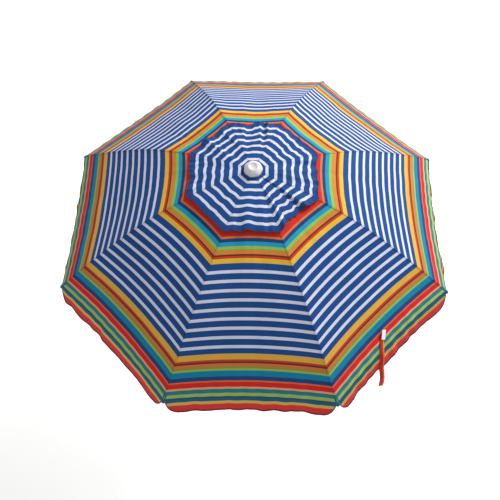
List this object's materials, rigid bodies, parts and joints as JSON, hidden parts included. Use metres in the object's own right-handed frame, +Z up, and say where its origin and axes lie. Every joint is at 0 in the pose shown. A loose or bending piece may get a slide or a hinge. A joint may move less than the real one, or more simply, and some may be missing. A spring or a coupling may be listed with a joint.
{
  "type": "beach umbrella",
  "caption": "Open vented beach umbrella with a ribbed striped canopy, tilting head, sliding runner and two-piece pole ending in a sand spike.",
  "frame": {"origin": "on the pole's axis where the spike meets the lower tube's wall; the umbrella stands upright and open", "axes": "+Z up the pole towards the finial; the ribs stand at 22.5 degrees and every 45 degrees from +X; the tie strap hangs from the panel between +X and -Y; the clamp knob points to +X"},
  "size_m": [1.7882, 1.7882, 2.383],
  "materials": {
    "painted_tube": "gloss white enamel",
    "white_plastic": "moulded satin",
    "steel": "zinc plated",
    "striped_cloth": "woven polyester with a soft sheen",
    "blue_cloth": "woven polyester with a soft sheen",
    "strap_webbing": "woven tape"
  },
  "bodies": {
    "lower": {"lower_pole": "painted_tube", "sand_spike": "white_plastic", "clamp_collar": "white_plastic"},
    "knob": {"clamp_knob": "white_plastic", "clamp_screw": "steel"},
    "mast": {"upper_pole": "painted_tube", "tilt_fork": "white_plastic", "tilt_pin": "steel"},
    "tilt_catch": {"tilt_button": "white_plastic"},
    "head": {"tilt_tongue": "white_plastic", "top_pole": "painted_tube", "top_notch": "white_plastic", "notch_wire": "steel", "cap_washer": "steel", "finial": "white_plastic", "vent_cap": "blue_cloth"},
    "slider": {"runner": "white_plastic"},
    "slider_catch": {"runner_button": "white_plastic"},
    "rib_arm_1": {"rib_1": "painted_tube", "rib_clip_1": "steel", "rib_tip_1": "white_plastic", "canopy_gore_1": "striped_cloth"},
    "rib_arm_2": {"rib_2": "painted_tube", "rib_clip_2": "steel", "rib_tip_2": "white_plastic", "canopy_gore_2": "striped_cloth"},
    "rib_arm_3": {"rib_3": "painted_tube", "rib_clip_3": "steel", "rib_tip_3": "white_plastic", "canopy_gore_3": "striped_cloth"},
    "rib_arm_4": {"rib_4": "painted_tube", "rib_clip_4": "steel", "rib_tip_4": "white_plastic", "canopy_gore_4": "striped_cloth"},
    "rib_arm_5": {"rib_5": "painted_tube", "rib_clip_5": "steel", "rib_tip_5": "white_plastic", "canopy_gore_5": "striped_cloth"},
    "rib_arm_6": {"rib_6": "painted_tube", "rib_clip_6": "steel", "rib_tip_6": "white_plastic", "canopy_gore_6": "striped_cloth"},
    "rib_arm_7": {"rib_7": "painted_tube", "rib_clip_7": "steel", "rib_tip_7": "white_plastic", "canopy_gore_7": "striped_cloth", "tie_strap": "strap_webbing"},
    "rib_arm_8": {"rib_8": "painted_tube", "rib_clip_8": "steel", "rib_tip_8": "white_plastic", "canopy_gore_8": "striped_cloth"},
    "strut_1": {"stretcher_1": "painted_tube"},
    "strut_2": {"stretcher_2": "painted_tube"},
    "strut_3": {"stretcher_3": "painted_tube"},
    "strut_4": {"stretcher_4": "painted_tube"},
    "strut_5": {"stretcher_5": "painted_tube"},
    "strut_6": {"stretcher_6": "painted_tube"},
    "strut_7": {"stretcher_7": "painted_tube"},
    "strut_8": {"stretcher_8": "painted_tube"}
  },
  "joints": [
    {"name": "height_slide", "type": "slide", "parent": "lower", "child": "mast", "axis": [0, 0, 1], "range_m": [-0.15, 0.04]},
    {"name": "clamp_turn", "type": "hinge", "parent": "lower", "child": "knob", "pos_m": [0.04, 0, 0.91], "axis": [1, 0, 0], "range_deg": [-180, 180]},
    {"name": "tilt", "type": "hinge", "parent": "mast", "child": "head", "pos_m": [0, 0, 1.18], "axis": [1, 0, 0], "range_deg": [0, 45]},
    {"name": "tilt_press", "type": "slide", "parent": "mast", "child": "tilt_catch", "axis": [-1, 0, 0], "range_m": [0, 0.003], "stiffness_N_per_m": 600},
    {"name": "runner_slide", "type": "slide", "parent": "head", "child": "slider", "axis": [0, 0, -1], "range_m": [0, 0.6058], "deforming": ["canopy_gore_1", "canopy_gore_2", "canopy_gore_3", "canopy_gore_4", "canopy_gore_5", "canopy_gore_6", "canopy_gore_7", "canopy_gore_8", "vent_cap", "tie_strap"]},
    {"name": "runner_press", "type": "slide", "parent": "slider", "child": "slider_catch", "axis": [-1, 0, 0], "range_m": [0, 0.0025], "stiffness_N_per_m": 600},
    {"name": "rib_hinge_1", "type": "hinge", "parent": "head", "child": "rib_arm_1", "pos_m": [0.02032, 0.00842, 2.23], "axis": [-0.3827, 0.9239, 0], "range_deg": [-0.05, 63.55]},
    {"name": "strut_hinge_1", "type": "hinge", "parent": "rib_arm_1", "child": "strut_1", "pos_m": [0.38276, 0.15855, 2.14296], "axis": [-0.3827, 0.9239, 0], "range_deg": [-127.1, 0.1]},
    {"name": "rib_hinge_2", "type": "hinge", "parent": "head", "child": "rib_arm_2", "pos_m": [0.00842, 0.02032, 2.23], "axis": [-0.9239, 0.3827, 0], "range_deg": [-0.05, 63.55]},
    {"name": "strut_hinge_2", "type": "hinge", "parent": "rib_arm_2", "child": "strut_2", "pos_m": [0.15855, 0.38276, 2.14296], "axis": [-0.9239, 0.3827, 0], "range_deg": [-127.1, 0.1]},
    {"name": "rib_hinge_3", "type": "hinge", "parent": "head", "child": "rib_arm_3", "pos_m": [-0.00842, 0.02032, 2.23], "axis": [-0.9239, -0.3827, 0], "range_deg": [-0.05, 63.55]},
    {"name": "strut_hinge_3", "type": "hinge", "parent": "rib_arm_3", "child": "strut_3", "pos_m": [-0.15855, 0.38276, 2.14296], "axis": [-0.9239, -0.3827, 0], "range_deg": [-127.1, 0.1]},
    {"name": "rib_hinge_4", "type": "hinge", "parent": "head", "child": "rib_arm_4", "pos_m": [-0.02032, 0.00842, 2.23], "axis": [-0.3827, -0.9239, 0], "range_deg": [-0.05, 63.55]},
    {"name": "strut_hinge_4", "type": "hinge", "parent": "rib_arm_4", "child": "strut_4", "pos_m": [-0.38276, 0.15855, 2.14296], "axis": [-0.3827, -0.9239, 0], "range_deg": [-127.1, 0.1]},
    {"name": "rib_hinge_5", "type": "hinge", "parent": "head", "child": "rib_arm_5", "pos_m": [-0.02032, -0.00842, 2.23], "axis": [0.3827, -0.9239, 0], "range_deg": [-0.05, 63.55]},
    {"name": "strut_hinge_5", "type": "hinge", "parent": "rib_arm_5", "child": "strut_5", "pos_m": [-0.38276, -0.15855, 2.14296], "axis": [0.3827, -0.9239, 0], "range_deg": [-127.1, 0.1]},
    {"name": "rib_hinge_6", "type": "hinge", "parent": "head", "child": "rib_arm_6", "pos_m": [-0.00842, -0.02032, 2.23], "axis": [0.9239, -0.3827, 0], "range_deg": [-0.05, 63.55]},
    {"name": "strut_hinge_6", "type": "hinge", "parent": "rib_arm_6", "child": "strut_6", "pos_m": [-0.15855, -0.38276, 2.14296], "axis": [0.9239, -0.3827, 0], "range_deg": [-127.1, 0.1]},
    {"name": "rib_hinge_7", "type": "hinge", "parent": "head", "child": "rib_arm_7", "pos_m": [0.00842, -0.02032, 2.23], "axis": [0.9239, 0.3827, 0], "range_deg": [-0.05, 63.55]},
    {"name": "strut_hinge_7", "type": "hinge", "parent": "rib_arm_7", "child": "strut_7", "pos_m": [0.15855, -0.38276, 2.14296], "axis": [0.9239, 0.3827, 0], "range_deg": [-127.1, 0.1]},
    {"name": "rib_hinge_8", "type": "hinge", "parent": "head", "child": "rib_arm_8", "pos_m": [0.02032, -0.00842, 2.23], "axis": [0.3827, 0.9239, 0], "range_deg": [-0.05, 63.55]},
    {"name": "strut_hinge_8", "type": "hinge", "parent": "rib_arm_8", "child": "strut_8", "pos_m": [0.38276, -0.15855, 2.14296], "axis": [0.3827, 0.9239, 0], "range_deg": [-127.1, 0.1]}
  ],
  "couplings": [
    {"joint": "rib_hinge_1", "follows": "runner_slide", "rad_per_m": 1.8295},
    {"joint": "strut_hinge_1", "follows": "runner_slide", "rad_per_m": -3.6589},
    {"joint": "rib_hinge_2", "follows": "runner_slide", "rad_per_m": 1.8295},
    {"joint": "strut_hinge_2", "follows": "runner_slide", "rad_per_m": -3.6589},
    {"joint": "rib_hinge_3", "follows": "runner_slide", "rad_per_m": 1.8295},
    {"joint": "strut_hinge_3", "follows": "runner_slide", "rad_per_m": -3.6589},
    {"joint": "rib_hinge_4", "follows": "runner_slide", "rad_per_m": 1.8295},
    {"joint": "strut_hinge_4", "follows": "runner_slide", "rad_per_m": -3.6589},
    {"joint": "rib_hinge_5", "follows": "runner_slide", "rad_per_m": 1.8295},
    {"joint": "strut_hinge_5", "follows": "runner_slide", "rad_per_m": -3.6589},
    {"joint": "rib_hinge_6", "follows": "runner_slide", "rad_per_m": 1.8295},
    {"joint": "strut_hinge_6", "follows": "runner_slide", "rad_per_m": -3.6589},
    {"joint": "rib_hinge_7", "follows": "runner_slide", "rad_per_m": 1.8295},
    {"joint": "strut_hinge_7", "follows": "runner_slide", "rad_per_m": -3.6589},
    {"joint": "rib_hinge_8", "follows": "runner_slide", "rad_per_m": 1.8295},
    {"joint": "strut_hinge_8", "follows": "runner_slide", "rad_per_m": -3.6589}
  ]
}
